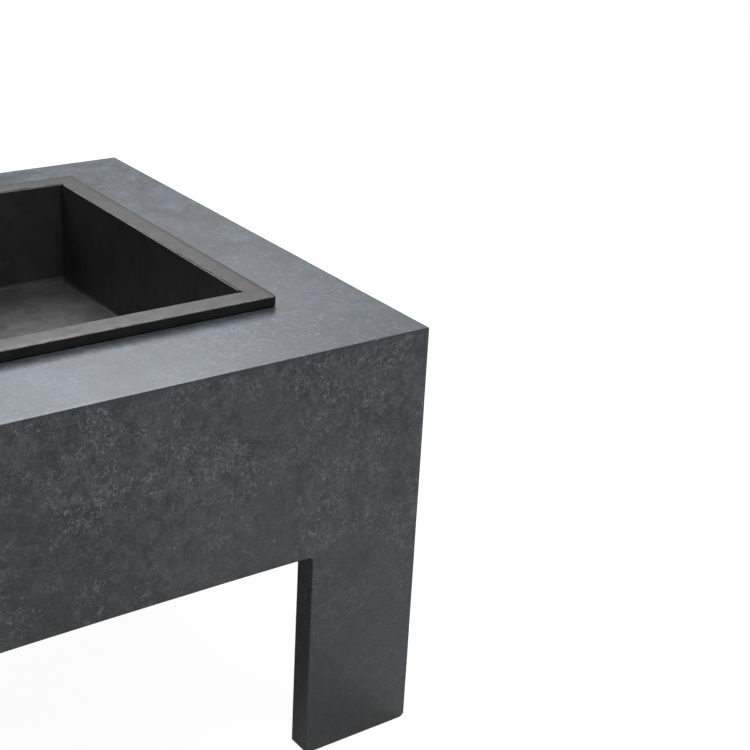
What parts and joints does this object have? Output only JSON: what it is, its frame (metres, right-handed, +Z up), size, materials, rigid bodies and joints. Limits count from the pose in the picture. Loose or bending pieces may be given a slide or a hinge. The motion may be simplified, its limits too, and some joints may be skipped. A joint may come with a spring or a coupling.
{
  "type": "fire pit",
  "caption": "Square fire pit: a slate-grey cast console on corner legs with a drop-in black steel fire bowl and a loose log grate.",
  "frame": {"origin": "on the ground, under the middle of the square console", "axes": "+Z up, -Y towards the front, +X towards the right seen from the front"},
  "size_m": [0.68, 0.68, 0.482],
  "materials": {
    "fibre_clay": "matte",
    "bowl_paint": "satin",
    "grate_steel": "matte",
    "pad_rubber": "matte"
  },
  "bodies": {
    "console": {"top_slab": "fibre_clay", "front_panel": "fibre_clay", "right_panel": "fibre_clay", "back_panel": "fibre_clay", "left_panel": "fibre_clay", "corner_gusset_front_right": "fibre_clay", "corner_gusset_back_right": "fibre_clay", "corner_gusset_back_left": "fibre_clay", "corner_gusset_front_left": "fibre_clay", "opening_rib_front": "fibre_clay", "opening_rib_right": "fibre_clay", "opening_rib_back": "fibre_clay", "opening_rib_left": "fibre_clay", "foot_pad_front_right": "pad_rubber", "foot_pad_back_right": "pad_rubber", "foot_pad_back_left": "pad_rubber", "foot_pad_front_left": "pad_rubber"},
    "fire_bowl": {"bowl_floor": "bowl_paint", "bowl_wall_front": "bowl_paint", "bowl_wall_right": "bowl_paint", "bowl_wall_back": "bowl_paint", "bowl_wall_left": "bowl_paint", "rim_rail_front": "bowl_paint", "rim_rail_right": "bowl_paint", "rim_rail_back": "bowl_paint", "rim_rail_left": "bowl_paint", "floor_weld": "bowl_paint", "rim_weld": "bowl_paint"},
    "fire_grate": {"grate_bar_1": "grate_steel", "grate_bar_2": "grate_steel", "grate_bar_3": "grate_steel", "grate_bar_4": "grate_steel", "grate_bar_5": "grate_steel", "grate_rail_front": "grate_steel", "grate_rail_back": "grate_steel", "grate_foot_front_left": "grate_steel", "grate_foot_front_right": "grate_steel", "grate_foot_back_left": "grate_steel", "grate_foot_back_right": "grate_steel"}
  },
  "joints": [
    {"name": "bowl_lift", "type": "slide", "parent": "console", "child": "fire_bowl", "axis": [0, 0, 1], "range_m": [0, 0.2]},
    {"name": "grate_lift", "type": "slide", "parent": "fire_bowl", "child": "fire_grate", "axis": [0, 0, 1], "range_m": [0, 0.2]}
  ]
}
